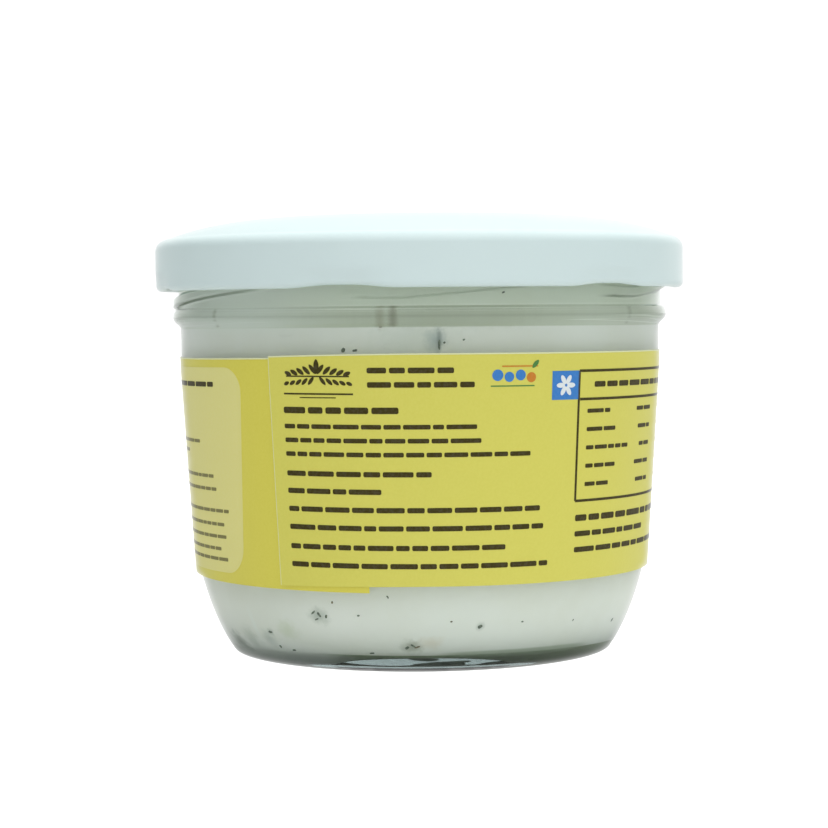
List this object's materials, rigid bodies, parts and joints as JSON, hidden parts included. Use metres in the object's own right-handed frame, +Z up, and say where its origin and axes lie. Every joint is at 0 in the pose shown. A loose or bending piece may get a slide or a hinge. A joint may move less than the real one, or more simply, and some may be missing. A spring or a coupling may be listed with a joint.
{
  "type": "jar of goat cheese",
  "caption": "Low tapered clear glass jar full of soft white goat cheese with chives, shut with a white twist-off lid and wrapped in a yellow paper label.",
  "frame": {"origin": "middle of the circle on which the jar stands", "axes": "+Z up along the jar's axis, -Y towards the front, where the label's ends overlap"},
  "size_m": [0.0848, 0.0848, 0.0694],
  "materials": {
    "glass": "clear, faintly green flint glass",
    "lid_paint": "white satin lacquer on tinplate",
    "cheese": "moist soft white cheese with chive and herb flecks",
    "label_paper": null
  },
  "bodies": {
    "root": {"glass_jar": "glass", "lid": "lid_paint", "cheese": "cheese", "label": "label_paper"}
  },
  "joints": []
}
